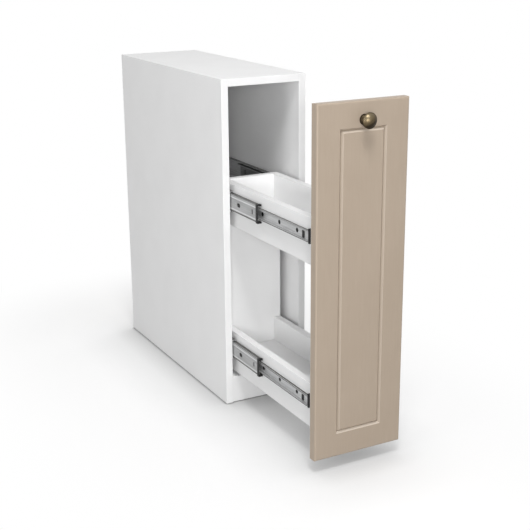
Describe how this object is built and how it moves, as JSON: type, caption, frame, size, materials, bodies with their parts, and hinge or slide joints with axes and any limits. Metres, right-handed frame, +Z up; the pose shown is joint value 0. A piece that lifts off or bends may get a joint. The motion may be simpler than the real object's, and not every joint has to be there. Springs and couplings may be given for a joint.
{
  "type": "spice rack base cabinet",
  "caption": "Narrow white base cabinet with a pull-out spice rack: stacked open trays on ball-bearing slides behind a beige framed door with a round knob.",
  "frame": {"origin": "on the floor, under the middle of the carcass's front edges", "axes": "+X to the right seen from the front, +Y into the cabinet, +Z up"},
  "size_m": [0.2, 0.966, 0.72],
  "materials": {
    "white_melamine": "satin white melamine",
    "back_board": "matte white coating",
    "door_foil": "matte beige foil",
    "antique_brass": "darkened, satin",
    "zinc_steel": "zinc plated",
    "black_plastic": "matte",
    "bearing_steel": "polished",
    "dark_steel": "blackened",
    "cast_zinc": "cast, satin",
    "beech": "bare",
    "clear_bumper": "translucent"
  },
  "bodies": {
    "carcass": {"side_panel_left": "white_melamine", "side_panel_right": "white_melamine", "top_panel": "white_melamine", "bottom_panel": "white_melamine", "kick_panel": "white_melamine", "back_panel": "back_board", "carcass_cams": "cast_zinc", "carcass_cam_bolts": "cast_zinc", "carcass_dowels": "beech", "carcass_slide_screws": "dark_steel", "slide_rear_stops": "black_plastic", "slide_outer_lower_left": "zinc_steel", "slide_outer_lower_right": "zinc_steel", "slide_outer_upper_left": "zinc_steel", "slide_outer_upper_right": "zinc_steel"},
    "pullout": {"door_front": "door_foil", "knob": "antique_brass", "knob_screw": "dark_steel", "door_bumpers": "clear_bumper", "tray_rear_board": "white_melamine", "inner_end_stops": "black_plastic", "tray_slide_screws": "dark_steel", "tray_dowels": "beech", "door_cams": "cast_zinc", "door_cam_bolts": "cast_zinc", "lower_tray_left_side": "white_melamine", "lower_tray_right_side": "white_melamine", "lower_tray_floor": "white_melamine", "upper_tray_left_side": "white_melamine", "upper_tray_right_side": "white_melamine", "upper_tray_floor": "white_melamine", "slide_inner_lower_left": "zinc_steel", "slide_inner_lower_right": "zinc_steel", "slide_inner_upper_left": "zinc_steel", "slide_inner_upper_right": "zinc_steel"},
    "middle_lower_left": {"slide_middle_lower_left": "zinc_steel", "slide_clip_lower_left": "black_plastic"},
    "outer_cage_lower_left": {"outer_cage_lower_left": "dark_steel", "outer_balls_lower_left": "bearing_steel"},
    "inner_cage_lower_left": {"inner_cage_lower_left": "dark_steel", "inner_balls_lower_left": "bearing_steel"},
    "middle_lower_right": {"slide_middle_lower_right": "zinc_steel", "slide_clip_lower_right": "black_plastic"},
    "outer_cage_lower_right": {"outer_cage_lower_right": "dark_steel", "outer_balls_lower_right": "bearing_steel"},
    "inner_cage_lower_right": {"inner_cage_lower_right": "dark_steel", "inner_balls_lower_right": "bearing_steel"},
    "middle_upper_left": {"slide_middle_upper_left": "zinc_steel", "slide_clip_upper_left": "black_plastic"},
    "outer_cage_upper_left": {"outer_cage_upper_left": "dark_steel", "outer_balls_upper_left": "bearing_steel"},
    "inner_cage_upper_left": {"inner_cage_upper_left": "dark_steel", "inner_balls_upper_left": "bearing_steel"},
    "middle_upper_right": {"slide_middle_upper_right": "zinc_steel", "slide_clip_upper_right": "black_plastic"},
    "outer_cage_upper_right": {"outer_cage_upper_right": "dark_steel", "outer_balls_upper_right": "bearing_steel"},
    "inner_cage_upper_right": {"inner_cage_upper_right": "dark_steel", "inner_balls_upper_right": "bearing_steel"}
  },
  "joints": [
    {"name": "pullout_slide", "type": "slide", "parent": "carcass", "child": "pullout", "axis": [0, -1, 0], "range_m": [-0.358, 0.042]},
    {"name": "middle_lower_left_slide", "type": "slide", "parent": "carcass", "child": "middle_lower_left", "axis": [0, -1, 0], "range_m": [-0.1258, 0.0152]},
    {"name": "outer_cage_lower_left_slide", "type": "slide", "parent": "carcass", "child": "outer_cage_lower_left", "axis": [0, -1, 0], "range_m": [-0.06315, 0.00785]},
    {"name": "inner_cage_lower_left_slide", "type": "slide", "parent": "carcass", "child": "inner_cage_lower_left", "axis": [0, -1, 0], "range_m": [-0.24215, 0.02885]},
    {"name": "middle_lower_right_slide", "type": "slide", "parent": "carcass", "child": "middle_lower_right", "axis": [0, -1, 0], "range_m": [-0.1258, 0.0152]},
    {"name": "outer_cage_lower_right_slide", "type": "slide", "parent": "carcass", "child": "outer_cage_lower_right", "axis": [0, -1, 0], "range_m": [-0.06315, 0.00785]},
    {"name": "inner_cage_lower_right_slide", "type": "slide", "parent": "carcass", "child": "inner_cage_lower_right", "axis": [0, -1, 0], "range_m": [-0.24215, 0.02885]},
    {"name": "middle_upper_left_slide", "type": "slide", "parent": "carcass", "child": "middle_upper_left", "axis": [0, -1, 0], "range_m": [-0.1258, 0.0152]},
    {"name": "outer_cage_upper_left_slide", "type": "slide", "parent": "carcass", "child": "outer_cage_upper_left", "axis": [0, -1, 0], "range_m": [-0.06315, 0.00785]},
    {"name": "inner_cage_upper_left_slide", "type": "slide", "parent": "carcass", "child": "inner_cage_upper_left", "axis": [0, -1, 0], "range_m": [-0.24215, 0.02885]},
    {"name": "middle_upper_right_slide", "type": "slide", "parent": "carcass", "child": "middle_upper_right", "axis": [0, -1, 0], "range_m": [-0.1258, 0.0152]},
    {"name": "outer_cage_upper_right_slide", "type": "slide", "parent": "carcass", "child": "outer_cage_upper_right", "axis": [0, -1, 0], "range_m": [-0.06315, 0.00785]},
    {"name": "inner_cage_upper_right_slide", "type": "slide", "parent": "carcass", "child": "inner_cage_upper_right", "axis": [0, -1, 0], "range_m": [-0.24215, 0.02885]}
  ],
  "couplings": [
    {"joint": "middle_lower_left_slide", "follows": "pullout_slide", "ratio": 0.35},
    {"joint": "outer_cage_lower_left_slide", "follows": "pullout_slide", "ratio": 0.175},
    {"joint": "inner_cage_lower_left_slide", "follows": "pullout_slide", "ratio": 0.675},
    {"joint": "middle_lower_right_slide", "follows": "pullout_slide", "ratio": 0.35},
    {"joint": "outer_cage_lower_right_slide", "follows": "pullout_slide", "ratio": 0.175},
    {"joint": "inner_cage_lower_right_slide", "follows": "pullout_slide", "ratio": 0.675},
    {"joint": "middle_upper_left_slide", "follows": "pullout_slide", "ratio": 0.35},
    {"joint": "outer_cage_upper_left_slide", "follows": "pullout_slide", "ratio": 0.175},
    {"joint": "inner_cage_upper_left_slide", "follows": "pullout_slide", "ratio": 0.675},
    {"joint": "middle_upper_right_slide", "follows": "pullout_slide", "ratio": 0.35},
    {"joint": "outer_cage_upper_right_slide", "follows": "pullout_slide", "ratio": 0.175},
    {"joint": "inner_cage_upper_right_slide", "follows": "pullout_slide", "ratio": 0.675}
  ]
}
